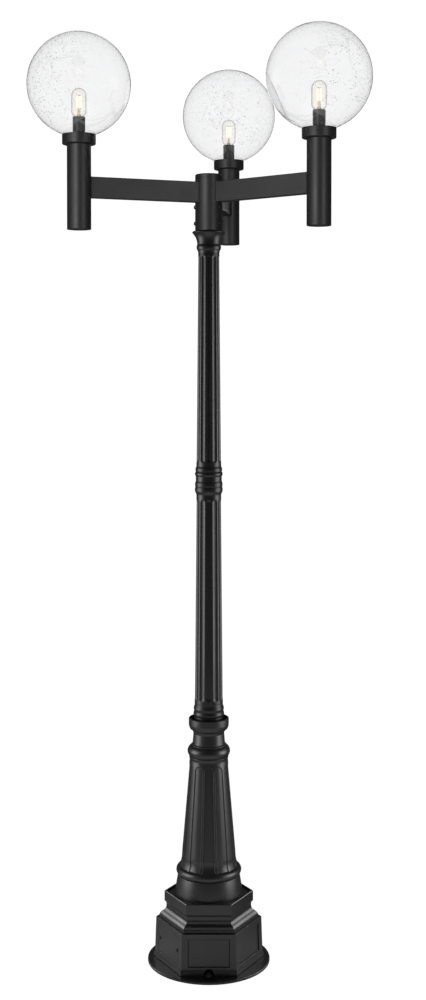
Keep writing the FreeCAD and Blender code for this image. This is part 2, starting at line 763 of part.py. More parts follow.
def upper_shaft():
    waist_top_z = joint_z + upper_bead_h + upper_waist_h
    groove_z = waist_top_z + second_bead_h
    third_top_z = groove_z + third_bead_h
    astragal_z = upper_taper_top_z + astragal_cove_h
    rim_foot_z = bell_z + bell_h
    outer = Outline(joint_r, joint_z)
    outer.bow(upper_waist_r, joint_z + upper_bead_h, upper_bead_swell)
    outer.line(upper_waist_r, waist_top_z)
    outer.bow(upper_waist_r, groove_z, second_bead_swell)
    outer.bow(upper_waist_r - third_bead_inset, third_top_z, third_bead_swell)
    outer.bow(shaft_mid_r, upper_taper_z, -upper_cove_hollow)
    outer.line(shaft_top_r, upper_taper_top_z)
    outer.bow(astragal_r, astragal_z, -astragal_cove_hollow)
    outer.bow(bell_foot_r, bell_z, astragal_swell)
    outer.bow(bell_r, rim_foot_z, -bell_hollow)
    outer.line(bell_r, capital_z - bell_rim_bevel).line(bell_r - bell_rim_bevel, capital_z)
    outer.line(tenon_r, capital_z).line(tenon_r, capital_z + tenon_h - tenon_bevel)
    outer.line(tenon_r - tenon_bevel, capital_z + tenon_h)
    solid = outer.turned()
    flute = round_flute(shaft_mid_r, upper_taper_z + flute_end_margin,
                        shaft_top_r, upper_taper_top_z - flute_end_margin / 2)
    solid = solid.cut(around(flute, shaft_flutes, anchor_front))
    solid = solid.cut(rod(upper_bore_r, joint_z - 1, capital_z + tenon_h + 1))
    return solid.cut(rod(coupling_r + slip_gap, joint_z - 1, joint_z + coupling_l / 2))


def shaft_coupling():
    foot_z = joint_z - coupling_l / 2
    top_z = joint_z + coupling_l / 2 - seat_gap
    return rod(coupling_r, foot_z, top_z).cut(rod(coupling_bore_r, foot_z - 1, top_z + 1))


# ---- Head ----------------------------------------------------------------------------------------
def arm_angle(number):
    return first_arm + number * 360 / lamp_count


def hub_tube():
    tube = rod(hub_r, hub_z, hub_top_z).cut(rod(hub_bore_r, hub_z - 1, hub_top_z + 1))
    wire_hole = radial_rod(wire_hole_r, hub_bore_r - 5, hub_r + 5, arm_mid_z)
    holes = around(wire_hole, lamp_count, first_arm)
    for height in (set_screw_low, set_screw_high):
        hole = radial_rod(set_screw_r + screw_gap, hub_bore_r - 5, hub_r + 5, hub_z + height)
        holes += around(hole, lamp_count, first_arm)
    return tube.cut(holes)


def hub_cap():
    disc = rod(hub_r, hub_top_z, hub_top_z + hub_cap_h)
    top_edge = [edge for edge in disc.Edges
                if edge.BoundBox.ZMin > hub_top_z + hub_cap_h - 1e-3]
    disc = disc.makeFillet(hub_cap_edge_r, top_edge)
    return disc.fuse(rod(hub_bore_r - slip_gap, hub_top_z - cap_spigot_h, hub_top_z + 1))


def hub_set_screws():
    """Hexagon-head set screws that clamp the hub on the tenon, in two rows."""
    screws = []
    tip_r = tenon_r + set_screw_tip_gap
    for height in (set_screw_low, set_screw_high):
        head = hexagon_bar(set_screw_head_across, set_screw_head_h)
        head.rotate(CENTRE, FreeCAD.Vector(0, 1, 0), 90)
        head.translate(FreeCAD.Vector(hub_r + seat_gap, 0, hub_z + height))
        shank = radial_rod(set_screw_r, tip_r, hub_r + set_screw_head_h / 2, hub_z + height)
        screws += around(head.fuse(shank), lamp_count, first_arm)
    return Part.makeCompound(screws)


def arm(number):
    """A rectangular tube whose ends are coped to the hub and the lamp tube."""
    blank = Part.makeBox(lamp_circle_r, arm_w, arm_h, FreeCAD.Vector(0, -arm_w / 2, arm_z))
    blank = blank.makeFillet(arm_edge_r, edges_along(blank, FreeCAD.Vector(1, 0, 0)))
    bore = Part.makeBox(lamp_circle_r, arm_w - 2 * arm_wall, arm_h - 2 * arm_wall,
                        FreeCAD.Vector(0, arm_wall - arm_w / 2, arm_z + arm_wall))
    top_z = arm_z + arm_h
    hub = rod(hub_r + weld_gap, arm_z - 1, top_z + 1)
    tube = rod(lamp_tube_r + weld_gap, arm_z - 1, top_z + 1, x=lamp_circle_r)
    return turned_to(blank.cut([bore, hub, tube]), arm_angle(number))


# ---- Lamps: each piece is drawn on the axis with the hub towards -X --------------------------------
def lamp_tube():
    tube = rod(lamp_tube_r, tube_z, tube_top_z)
    tube = tube.cut(rod(lamp_tube_r - lamp_tube_wall, tube_z - 1, tube_top_z + 1))
    return tube.cut(radial_rod(wire_hole_r, -lamp_tube_r - 1, 0, arm_mid_z))


def tube_end_cap():
    bulge = end_cap_edge_r * (1 - math.sqrt(0.5))
    foot_z = tube_z - end_cap_h
    spigot = lamp_tube_r - lamp_tube_wall - slip_gap
    outer = Outline(lamp_tube_r - end_cap_edge_r, foot_z)
    outer.arc(lamp_tube_r - bulge, foot_z + bulge, lamp_tube_r, foot_z + end_cap_edge_r)
    outer.line(lamp_tube_r, tube_z).line(spigot, tube_z).line(spigot, tube_z + cap_spigot_h)
    return outer.turned()


def collar():
    """The cup that holds the globe's neck, with a spigot down into the lamp tube."""
    spigot = lamp_tube_r - lamp_tube_wall - slip_gap
    foot_bulge = collar_foot_edge_r * (1 - math.sqrt(0.5))
    top_bulge = collar_top_edge_r * (1 - math.sqrt(0.5))
    outer = Outline(spigot, tube_top_z - collar_spigot_h).line(spigot, tube_top_z)
    outer.line(collar_r - collar_foot_edge_r, tube_top_z)
    outer.arc(collar_r - foot_bulge, tube_top_z + foot_bulge,
              collar_r, tube_top_z + collar_foot_edge_r)
    outer.line(collar_r, collar_top_z - collar_top_edge_r)
    outer.arc(collar_r - top_bulge, collar_top_z - top_bulge,
              collar_r - collar_top_edge_r, collar_top_z)
    cup = outer.turned()
    cup = cup.cut(rod(collar_r - collar_wall, cup_floor_z, collar_top_z + 1))
    cup = cup.cut(rod(spigot - collar_spigot_wall, tube_top_z - collar_spigot_h - 1, tube_top_z))
    cup = cup.cut(rod(nipple_r + screw_gap, tube_top_z - 1, cup_floor_z + 1))
    hole = radial_rod(collar_screw_r + screw_gap, collar_r - collar_wall - 1, collar_r + 1,
                      tube_top_z + collar_screw_up)
    return cup.cut(around(hole, collar_screw_count, collar_screw_angle))


def collar_screws():
    """Grub screws that hold the globe's neck."""
    tip_r = globe_neck_r + collar_screw_tip_gap
    screw = radial_rod(collar_screw_r, tip_r, collar_r + collar_screw_proud,
                       tube_top_z + collar_screw_up)
    return Part.makeCompound(around(screw, collar_screw_count, collar_screw_angle))


def globe_gasket():
    ring = rod(globe_neck_r, cup_floor_z, cup_floor_z + gasket_t)
    return ring.cut(rod(globe_neck_r - gasket_w, cup_floor_z - 1, cup_floor_z + gasket_t + 1))


def globe():
    """A blown glass ball with a short straight neck."""
    inner_r = globe_r - globe_wall
    inner_neck_r = globe_neck_r - globe_wall
    inner_neck_top_z = globe_mid_z - math.sqrt(inner_r ** 2 - inner_neck_r ** 2)
    ball = Outline(globe_neck_r, globe_foot_z).line(globe_neck_r, globe_neck_top_z)
    ball = ball.arc(globe_r, globe_mid_z, 0, globe_mid_z + globe_r).turned()
    hollow = Outline(inner_neck_r, globe_foot_z - 1).line(inner_neck_r, inner_neck_top_z)
    hollow = hollow.arc(inner_r, globe_mid_z, 0, globe_mid_z + inner_r).turned()
    return ball.cut(hollow)


def socket_sleeve():
    sleeve = rod(sleeve_r, cup_floor_z, sleeve_top_z)
    return sleeve.cut(rod(sleeve_r - sleeve_wall, cup_floor_z - 1, sleeve_top_z + 1))


def stem_nipple():
    """The hollow threaded stem with a nut on each side of the collar's floor."""
    foot_z = tube_top_z - nipple_below
    bar = rod(nipple_r, foot_z, socket_z + nut_h)
    lower_nut = hexagon_bar(nut_across, nut_h)
    lower_nut.translate(FreeCAD.Vector(0, 0, tube_top_z - nut_h))
    upper_nut = hexagon_bar(nut_across, nut_h)
    upper_nut.translate(FreeCAD.Vector(0, 0, cup_floor_z))
    bar = bar.fuse(lower_nut).fuse(upper_nut)
    return bar.cut(rod(nipple_bore_r, foot_z - 1, socket_z + nut_h + 1))


def socket_body():
    """The porcelain lamp socket."""
    body = rod(socket_r, socket_z, socket_top_z)
    body = body.cut(rod(socket_bore_r, socket_bore_z, socket_top_z + 1))
    body = body.cut(rod(nipple_r + screw_gap, socket_z - 1, socket_z + nut_h + seat_gap))
    slots = [rod(wire_slot_r, socket_z - 1, socket_bore_z + 1,
                 x=side * (nipple_r + 2 * wire_slot_r)) for side in (-1, 1)]
    return body.cut(slots)


def socket_contacts():
    """The socket's screw shell and its centre contact."""
    shell_r = socket_bore_r - slip_gap / 2
    shell_foot_z = socket_top_z - shell_l
    shell = rod(shell_r, shell_foot_z, socket_top_z)
    shell = shell.cut(rod(shell_r - shell_wall, shell_foot_z - 1, socket_top_z + 1))
    strap = rod(shell_r, socket_bore_z, shell_foot_z)
    strap = strap.cut(rod(shell_r - shell_wall, socket_bore_z - 1, shell_foot_z + 1))
    strap = strap.common(Part.makeBox(2 * shell_r, contact_r, 2 * base_l,
                                      FreeCAD.Vector(0, -contact_r / 2, base_z - base_l)))
    contact = rod(contact_r, socket_bore_z, socket_bore_z + contact_h)
    return Part.makeCompound([shell.fuse(strap), contact])


# ---- Bulb ----------------------------------------------------------------------------------------
def bulb_outline(inset, foot_z):
    side_r = bulb_r - inset
    neck_r = bulb_neck_r - inset
    dome_z = bulb_top_z - bulb_r
    quarter = side_r * math.sqrt(0.5)
    outline = Outline(neck_r, foot_z).line(neck_r, bulb_z + 1)
    outline.upright(side_r, bulb_z + bulb_shoulder_h, 1)
    outline.line(side_r, dome_z)
    outline.arc(quarter, dome_z + quarter, 0, dome_z + side_r)
    return outline.turned()


def bulb_glass():
    return bulb_outline(0, bulb_z).cut(bulb_outline(bulb_wall, bulb_z - 1))


def bulb_base():
    """The bulb's screw base, with its contact at the tip."""
    outer = Outline(base_tip_r, base_z).line(base_tip_r, base_z + base_tip_h / 2)
    outer.line(base_r - 1, base_z + base_tip_h).line(base_r, base_z + base_tip_h + 1)
    outer.line(base_r, bulb_z)
    return outer.turned()


def bulb_filament():
    """The glass stem, the two wire spiders and the filament rods between them."""
    rods_z = bulb_z + stem_l
    rods_top_z = rods_z + filament_l
    stem = Outline(stem_foot_r, bulb_z).bow(2 * stem_rod_r, bulb_z + stem_flare_h, -1.5)
    stem.line(stem_rod_r, rods_z).line(stem_rod_r, rods_top_z + spider_t)
    stem = stem.turned()
    foot_spider = rod(spider_r, rods_z - spider_t, rods_z)
    top_spider = rod(spider_r, rods_top_z, rods_top_z + spider_t)
    stem = stem.fuse(foot_spider).fuse(top_spider)
    strip = rod(filament_r, rods_z, rods_top_z, x=filament_circle_r)
    return Part.makeCompound([stem] + around(strip, filament_count, 45))


def at_lamp(shape, number):
    """Places a lamp's piece at the end of its arm."""
    placed = shape.copy()
    placed.translate(FreeCAD.Vector(lamp_circle_r, 0, 0))
    return turned_to(placed, arm_angle(number))


# ---- Assembly ------------------------------------------------------------------------------------
def build():
    nodes = {
        "base_plinth": base_plinth(),
        "access_door": access_door(),
        "door_screws": door_screws(),
        "fluted_pedestal": fluted_pedestal(),
        "pedestal_screws": pedestal_screws(),
        "lower_shaft": lower_shaft(),
        "shaft_coupling": shaft_coupling(),
        "upper_shaft": upper_shaft(),
        "hub_tube": hub_tube(),
        "hub_cap": hub_cap(),
        "hub_set_screws": hub_set_screws(),
    }
    lamp_pieces = {
        "lamp_tube": lamp_tube(),
        "tube_end_cap": tube_end_cap(),
        "globe_collar": collar(),
        "collar_screws": collar_screws(),
        "globe_gasket": globe_gasket(),
        "globe": globe(),
        "socket_sleeve": socket_sleeve(),
        "stem_nipple": stem_nipple(),
        "socket_body": socket_body(),
        "socket_contacts": socket_contacts(),
        "bulb_base": bulb_base(),
        "bulb_glass": bulb_glass(),
        "bulb_filament": bulb_filament(),
    }
    for number in range(lamp_count):
        nodes[f"arm_{number + 1}"] = arm(number)
        for name, shape in lamp_pieces.items():
            nodes[f"{name}_{number + 1}"] = at_lamp(shape, number)
    return nodes


os.makedirs("parts", exist_ok=True)
for node, shape in build().items():
    if not shape.isValid() or not shape.Solids:
        raise ValueError(f"{node} is not a valid solid")
    shape.exportStep(f"parts/{node}.step")
    box = shape.BoundBox
    print(f"{node}: {len(shape.Solids)} solid(s), {shape.Volume / 1000:.1f} cm3, "
          f"z {box.ZMin:.1f} to {box.ZMax:.1f}")
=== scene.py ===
import json
import math
import random

import bpy
from mathutils import Matrix, Vector, noise

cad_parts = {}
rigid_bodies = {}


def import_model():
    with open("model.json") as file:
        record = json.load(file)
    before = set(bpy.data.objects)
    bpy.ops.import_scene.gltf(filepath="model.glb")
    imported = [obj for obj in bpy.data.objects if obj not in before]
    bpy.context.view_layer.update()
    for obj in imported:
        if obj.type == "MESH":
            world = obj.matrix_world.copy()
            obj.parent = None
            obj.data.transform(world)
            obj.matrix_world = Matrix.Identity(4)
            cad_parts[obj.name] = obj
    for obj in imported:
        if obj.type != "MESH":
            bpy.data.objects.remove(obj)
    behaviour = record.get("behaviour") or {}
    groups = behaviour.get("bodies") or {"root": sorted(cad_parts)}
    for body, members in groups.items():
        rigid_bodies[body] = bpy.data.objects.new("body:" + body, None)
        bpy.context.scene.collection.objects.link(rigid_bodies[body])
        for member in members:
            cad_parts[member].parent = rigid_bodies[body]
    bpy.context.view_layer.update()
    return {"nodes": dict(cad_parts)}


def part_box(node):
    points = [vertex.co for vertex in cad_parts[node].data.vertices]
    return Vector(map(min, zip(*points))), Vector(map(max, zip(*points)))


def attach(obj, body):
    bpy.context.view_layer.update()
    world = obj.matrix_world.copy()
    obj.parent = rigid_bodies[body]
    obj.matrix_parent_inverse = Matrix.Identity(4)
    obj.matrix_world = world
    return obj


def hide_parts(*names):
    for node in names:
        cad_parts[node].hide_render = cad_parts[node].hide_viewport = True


# Triple head lamp post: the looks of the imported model. Metres, +Z up, the front is -Y.

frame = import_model()
MM = 0.001
LAMPS = (1, 2, 3)                   # left, right and back

# ---- Sizes, and the way the door faces, as the part's source has them ----------------------------
GLOBE_NECK_R = 45.5 * MM
GLOBE_WALL = 3.0 * MM
BULB_R = 22.25 * MM
BULB_WALL = 0.9 * MM
BULB_NECK_R = 12.4 * MM
BULB_SHOULDER_H = 17.0 * MM
BASE_R = 13.1 * MM
STEM_H = 26.0 * MM                  # from the glass's foot to the rods
ROD_H = 36.0 * MM
ROD_R = 0.9 * MM
ROD_CIRCLE_R = 6.0 * MM
HUB_R = 41.5 * MM
LAMP_TUBE_R = 35.5 * MM
ARM_W = 27.0 * MM
ARM_EDGE_R = 2.0 * MM
DOOR_OUT = Vector((-0.8656157, -0.4997635, 0.0307547))      # leans back with the plinth's side


# ---- Shader helpers ------------------------------------------------------------------------------
def new_material(name):
    material = bpy.data.materials.new(name)
    material.use_nodes = True
    tree = material.node_tree
    tree.nodes.clear()
    out = tree.nodes.new("ShaderNodeOutputMaterial")
    shader = tree.nodes.new("ShaderNodeBsdfPrincipled")
    tree.links.new(shader.outputs[0], out.inputs["Surface"])
    return material, tree, shader


def join(tree, socket, value):
    """Links a socket if it is given an output, and sets it otherwise."""
    if isinstance(value, bpy.types.NodeSocket):
        tree.links.new(value, socket)
    else:
        socket.default_value = value


def add(tree, kind, inputs=None, **settings):
    """Adds a node with some of its inputs set or linked."""
    made = tree.nodes.new(kind)
    for key, value in settings.items():
        setattr(made, key, value)
    for key, value in (inputs or {}).items():
        join(tree, made.inputs[key], value)
    return made


def object_place(tree):
    return add(tree, "ShaderNodeTexCoord").outputs["Object"]


def noise_at(tree, place, scale, detail=2.0, roughness=0.5):
    texture = add(tree, "ShaderNodeTexNoise", {"Vector": place, "Scale": scale, "Detail": detail,
                                               "Roughness": roughness})
    return texture.outputs["Fac"]


def stretched(tree, place, up):
    """The place with its height scaled, for textures that run round the axis or along it."""
    return add(tree, "ShaderNodeMapping", {"Vector": place, "Scale": (1.0, 1.0, up)}).outputs[0]


def ranged(tree, value, low, high, to_low, to_high):
    made = add(tree, "ShaderNodeMapRange", {0: value, 1: low, 2: high, 3: to_low, 4: to_high})
    return made.outputs[0]


def maths(tree, operation, first, second):
    return add(tree, "ShaderNodeMath", {0: first, 1: second}, operation=operation).outputs[0]


def measured(tree, operation, first, second):
    """A number from two vectors, such as their dot product."""
    made = add(tree, "ShaderNodeVectorMath", {0: first, 1: second}, operation=operation)
    return made.outputs["Value"]


def mixed(tree, share, first, second):
    made = add(tree, "ShaderNodeMix", data_type="RGBA")
    for key, value in ((0, share), (6, first), (7, second)):
        join(tree, made.inputs[key], value)
    return made.outputs[2]


def grey(value, warm=0.0):
    return (value * (1 + warm), value, value * (1 - warm), 1.0)


def opaque(parts):
    """A colour's red, green and blue, with its alpha."""
    return tuple(parts) + (1.0,)


def bumped(tree, height, strength, distance, normal=None):
    made = add(tree, "ShaderNodeBump", {"Height": height, "Strength": strength,
                                        "Distance": distance})
    if normal is not None:
        tree.links.new(normal, made.inputs["Normal"])
    return made.outputs["Normal"]


def rounded_normal(tree, radius, samples):
    return add(tree, "ShaderNodeBevel", {"Radius": radius}, samples=samples).outputs["Normal"]


def edge_share(tree, rounded):
    """How near a sharp edge is: 0 on a face and 1 on the edge."""
    plain = add(tree, "ShaderNodeNewGeometry").outputs["Normal"]
    return ranged(tree, measured(tree, "DOT_PRODUCT", rounded, plain), 0.995, 0.86, 0.0, 1.0)


# ---- Materials -----------------------------------------------------------------------------------
def powder_coat(name, tone, rough, edge_r, cast, wear_and_highlight_tone, crevice_reach):
    """Matt black powder coat: orange peel, uneven gloss, edges paler from wear and from a painted
    highlight, and dull crevices darkened with painted shade. A casting has slow waves under it too."""
    gloss_swing, rubbed_polish, crevice_dulling = 0.05, 0.12, 0.5
    dark, pale = grey(tone * 0.82), grey(tone * 1.18, warm=0.012)
    # speck is random grain; the second colour is painted shade for the crevices.
    speck, painted_crevice_shade = grey(tone * 1.9), grey(tone * 0.35)
    material, tree, shader = new_material(name)
    place = object_place(tree)
    cloud = noise_at(tree, place, 7.0, 4.0, 0.6)
    grain = noise_at(tree, place, 900.0, 1.0)
    peel = noise_at(tree, place, 420.0, 2.0)
    rounded = rounded_normal(tree, edge_r, 6)
    patches = ranged(tree, noise_at(tree, place, 46.0, 3.0), 0.35, 0.7, 0.15, 1.0)
    # Ambient occlusion finds the crevices, which get painted shade in their colour and a duller
    # gloss.
    open_share = add(tree, "ShaderNodeAmbientOcclusion", {"Distance": crevice_reach}, samples=8)
    crevice = ranged(tree, open_share.outputs["AO"], 0.80, 0.99, 1.0, 0.0)
    # Edges are made paler, partly as wear and partly as a painted highlight.
    worn_and_highlit_edges = maths(tree, "MULTIPLY", edge_share(tree, rounded), patches)
    worn_and_highlit_edges = maths(tree, "MULTIPLY", worn_and_highlit_edges, maths(tree, "SUBTRACT", 1.0, crevice))
    colour = mixed(tree, cloud, dark, pale)
    colour = mixed(tree, maths(tree, "MULTIPLY", grain, 0.22), colour, speck)
    # Painted highlight and wear: the edges are paler.
    colour = mixed(tree, maths(tree, "MULTIPLY", worn_and_highlit_edges, 0.8), colour, grey(wear_and_highlight_tone))
    # Painted shade: the crevices are darkened.
    colour = mixed(tree, crevice, colour, painted_crevice_shade)
    tree.links.new(colour, shader.inputs["Base Color"])
    gloss = ranged(tree, cloud, 0.3, 0.7, rough - gloss_swing, rough + gloss_swing)
    gloss = maths(tree, "SUBTRACT", gloss, maths(tree, "MULTIPLY", worn_and_highlit_edges, rubbed_polish))
    gloss = maths(tree, "ADD", gloss, maths(tree, "MULTIPLY", crevice, crevice_dulling))
    tree.links.new(gloss, shader.inputs["Roughness"])
    normal = bumped(tree, peel, 0.35, 0.12 * MM, rounded)
    if cast:
        normal = bumped(tree, noise_at(tree, place, 38.0, 3.0), 0.35, 0.6 * MM, normal)
    tree.links.new(normal, shader.inputs["Normal"])
    return material


def plated(name, colour, rough, brush):
    """Bare or plated metal with fine machining lines and dull patches."""
    material, tree, shader = new_material(name)
    place = object_place(tree)
    dull = noise_at(tree, place, 60.0, 4.0, 0.6)
    lines = noise_at(tree, stretched(tree, place, brush), 240.0, 2.0)
    rounded = rounded_normal(tree, 0.4 * MM, 4)
    dark, bright = opaque(part * 0.72 for part in colour), opaque(colour)
    tree.links.new(mixed(tree, dull, dark, bright), shader.inputs["Base Color"])
    shader.inputs["Metallic"].default_value = 1.0
    tree.links.new(ranged(tree, dull, 0.3, 0.7, rough - 0.07, rough + 0.1),
                   shader.inputs["Roughness"])
    tree.links.new(bumped(tree, lines, 0.3, 0.08 * MM, rounded), shader.inputs["Normal"])
    return material


def moulded(name, low, high, rough, scale, depth):
    """Rubber and porcelain: cloudy colour and a fine skin."""
    material, tree, shader = new_material(name)
    place = object_place(tree)
    cloud = noise_at(tree, place, scale, 4.0, 0.6)
    skin = noise_at(tree, place, scale * 12, 2.0)
    tree.links.new(mixed(tree, cloud, low, high), shader.inputs["Base Color"])
    tree.links.new(ranged(tree, skin, 0.3, 0.7, rough - 0.06, rough + 0.08),
                   shader.inputs["Roughness"])
    tree.links.new(bumped(tree, skin, 0.4, depth), shader.inputs["Normal"])
    return material


def clear_glass(name, tint, ior, rough, wave_scale, wave_depth, murk=0.0, glow=0.0, rim=1.0):
    """Clear glass with slow waves, faint haze and no shadow of its own. Its outline is drawn by
    murk, which is what it swallows per metre, and by rim, its tint where it is seen along the
    surface. glow is what it scatters of the light inside it."""
    lamp_light = (1.0, 0.93, 0.82, 1.0)
    material, tree, shader = new_material(name)
    place = object_place(tree)
    haze = noise_at(tree, place, 26.0, 3.0)
    waves = noise_at(tree, place, wave_scale, 1.0, 0.4)
    cords = noise_at(tree, stretched(tree, place, 3.2), wave_scale * 3.1, 1.0, 0.4)
    pale, deep = opaque(tint), opaque(part ** 1.25 for part in tint)
    colour = mixed(tree, haze, pale, deep)
    if rim < 1.0:
        along = add(tree, "ShaderNodeLayerWeight", {"Blend": 0.5}).outputs["Facing"]
        colour = mixed(tree, ranged(tree, along, 0.46, 0.74, 0.0, 1.0), colour, grey(rim))
    tree.links.new(colour, shader.inputs["Base Color"])
    tree.links.new(ranged(tree, haze, 0.35, 0.75, rough * 0.4, rough),
                   shader.inputs["Roughness"])
    shader.inputs["Transmission Weight"].default_value = 1.0
    shader.inputs["IOR"].default_value = ior
    shader.inputs["Emission Color"].default_value = lamp_light
    shader.inputs["Emission Strength"].default_value = glow
    normal = bumped(tree, waves, 1.0, wave_depth)
    normal = bumped(tree, cords, 1.0, wave_depth * 0.22, normal)
    tree.links.new(normal, shader.inputs["Normal"])
    passing = add(tree, "ShaderNodeBsdfTransparent", {"Color": grey(0.97)})
    shadow = add(tree, "ShaderNodeLightPath").outputs["Is Shadow Ray"]
    both = add(tree, "ShaderNodeMixShader", {0: shadow, 1: shader.outputs[0],
                                             2: passing.outputs[0]})
    out = next(node for node in tree.nodes if node.type == "OUTPUT_MATERIAL")
    tree.links.new(both.outputs[0], out.inputs["Surface"])
    if murk:
        # A grey of one half swallows half of the density.
        depth = add(tree, "ShaderNodeVolumeAbsorption", {"Color": grey(0.5), "Density": murk * 2})
        tree.links.new(depth.outputs[0], out.inputs["Volume"])
    return material


def glowing(name, colour, core, strength):
    """A phosphor rod: warm, a little uneven, brighter at the middle of each chip."""
    material, tree, shader = new_material(name)
    place = object_place(tree)
    grains = noise_at(tree, place, 1400.0, 2.0)
    chips = add(tree, "ShaderNodeTexWave", {"Vector": place, "Scale": 190.0},
                wave_type="BANDS", bands_direction="Z").outputs["Fac"]
    glow = mixed(tree, maths(tree, "MULTIPLY", chips, grains), colour, core)
    tree.links.new(glow, shader.inputs["Base Color"])
    tree.links.new(glow, shader.inputs["Emission Color"])
    shader.inputs["Emission Strength"].default_value = strength
    tree.links.new(ranged(tree, grains, 0.3, 0.7, 0.4, 0.6), shader.inputs["Roughness"])
    tree.links.new(bumped(tree, grains, 0.4, 0.1 * MM), shader.inputs["Normal"])
    return material


# Each coat's paler edge tone is partly wear and partly a painted highlight; the cone's copy has the
# palest, a painted highlight along its flute edges.
CAST = powder_coat("cast_black", tone=0.0065, rough=0.37, edge_r=0.9 * MM, cast=True,
                   wear_and_highlight_tone=0.18, crevice_reach=3.2 * MM)
CONE_CAST = powder_coat("cast_black_cone", tone=0.0065, rough=0.37, edge_r=0.9 * MM, cast=True,
                        wear_and_highlight_tone=0.34, crevice_reach=3.2 * MM)
SHAFT_CAST = powder_coat("cast_black_shaft", tone=0.0065, rough=0.37, edge_r=0.8 * MM, cast=True,
                         wear_and_highlight_tone=0.03, crevice_reach=2.0 * MM)
TUBE = powder_coat("tube_black", tone=0.018, rough=0.44, edge_r=0.9 * MM, cast=False,
                   wear_and_highlight_tone=0.08, crevice_reach=2.5 * MM)
SCREW = powder_coat("screw_black", tone=0.012, rough=0.36, edge_r=0.4 * MM, cast=False,
                    wear_and_highlight_tone=0.030, crevice_reach=1.5 * MM)
ZINC = plated("zinc_steel", (0.62, 0.62, 0.60), rough=0.38, brush=6.0)
ALUMINIUM = plated("mill_aluminium", (0.72, 0.73, 0.74), rough=0.36, brush=0.2)
BRASS = plated("brass", (0.72, 0.54, 0.26), rough=0.30, brush=5.0)
CAP_METAL = plated("cap_metal", (0.66, 0.60, 0.48), rough=0.26, brush=5.0)
LEAD = plated("lead_wire", (0.34, 0.23, 0.15), rough=0.42, brush=3.0)
RUBBER = moulded("gasket_rubber", grey(0.028), grey(0.05), rough=0.72, scale=90.0,
                 depth=0.15 * MM)
PORCELAIN = moulded("porcelain", grey(0.78, 0.02), grey(0.88, 0.015), rough=0.16, scale=40.0,
                    depth=0.06 * MM)
SEEDY = clear_glass("seedy_glass", (0.956, 0.957, 0.961), ior=1.46, rough=0.006, wave_scale=30.0,
                    wave_depth=0.03 * MM, murk=1.8)
BUBBLE = clear_glass("seed_bubble", (0.12, 0.125, 0.13), ior=1.46, rough=0.05, wave_scale=400.0,
                     wave_depth=0.05 * MM)
BULB_GLASS = clear_glass("bulb_glass", (0.99, 0.985, 0.97), ior=1.46, rough=0.006,
                         wave_scale=60.0, wave_depth=0.04 * MM, murk=150.0, glow=0.07, rim=0.12)
STEM_GLASS = clear_glass("stem_glass", (0.80, 0.60, 0.40), ior=1.5, rough=0.02,
                         wave_scale=160.0, wave_depth=0.12 * MM)
FILAMENT = glowing("filament", (1.0, 0.66, 0.28, 1.0), (1.0, 0.80, 0.45, 1.0), strength=3.2)

WEARS = {
    "base_plinth": CAST, "access_door": CAST, "fluted_pedestal": CONE_CAST,
    "lower_shaft": SHAFT_CAST, "upper_shaft": SHAFT_CAST, "hub_tube": TUBE, "hub_cap": TUBE,
    "arm": TUBE, "lamp_tube": TUBE, "tube_end_cap": TUBE, "globe_collar": TUBE,
    "socket_sleeve": TUBE, "door_screws": SCREW, "hub_set_screws": SCREW,
    "collar_screws": SCREW, "pedestal_screws": ZINC, "stem_nipple": ZINC,
    "shaft_coupling": ALUMINIUM, "globe_gasket": RUBBER, "socket_body": PORCELAIN,
    "socket_contacts": BRASS, "bulb_base": CAP_METAL, "globe": SEEDY,
    "bulb_glass": BULB_GLASS, "bulb_filament": FILAMENT,
}
# The name of a lamp's piece ends in the lamp's number.
for node_name, node_object in frame["nodes"].items():
    kind = node_name[:-2] if node_name[-2:] in ("_1", "_2", "_3") else node_name
    for material_slot in node_object.material_slots:
        material_slot.material = WEARS[kind]


# ---- Mesh helpers --------------------------------------------------------------------------------
# A shape is a pair: a list of points, as vectors, and a list of faces.
def mesh_object(name, shape, material):
    """A new object of one mesh and one material, in place."""
    points, faces = shape
    mesh = bpy.data.meshes.new(name)
    mesh.from_pydata([tuple(point) for point in points], [], faces)
    mesh.update()
    mesh.materials.append(material)
    made = bpy.data.objects.new(name, mesh)
    bpy.context.scene.collection.objects.link(made)
    return made


def piece(name, shape, material, body):
    """A new smooth piece of the scene that rides on a body."""
    made = mesh_object(name, shape, material)
    made.data.polygons.foreach_set("use_smooth", [True] * len(made.data.polygons))
    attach(made, body)
    return made


def on_circle(radius, k, count):
    """The kth of count places round a circle."""
    turn = 2 * math.pi * k / count
    return radius * math.cos(turn), radius * math.sin(turn)


def even_rings(rings, count):
    """The numbers of the points of each of some rings, with count points in each."""
    return [range(k * count, (k + 1) * count) for k in range(rings)]


def bands(rings):
    """Faces from each ring of points to the next. A ring of one point is a pole."""
    faces = []
    for low, high in zip(rings, rings[1:]):
        count = max(len(low), len(high))
        for k in range(count):
            after = (k + 1) % count
            if len(low) == 1:
                faces.append((low[0], high[after], high[k]))
            elif len(high) == 1:
                faces.append((low[k], low[after], high[0]))
            else:
                faces.append((low[k], low[after], high[after], high[k]))
    return faces


def flipped(faces):
    return [tuple(reversed(face)) for face in faces]


def turned(profile, segments):
    """The shape of a profile of (reach, height) turned about the axis. Drawn upward on the
    outside, its faces look out."""
    points, rings = [], []
    for reach, height in profile:
        count = 1 if reach == 0 else segments
        rings.append(range(len(points), len(points) + count))
        points += [Vector((*on_circle(reach, k, segments), height)) for k in range(count)]
    return points, bands(rings)


def arc(centre, radius, start, end, steps):
    """Points of (reach, height) round a centre, from one angle to another in degrees."""
    found = []
    for k in range(steps + 1):
        angle = math.radians(start + (end - start) * k / steps)
        found.append((centre[0] + radius * math.cos(angle), centre[1] + radius * math.sin(angle)))
    return found


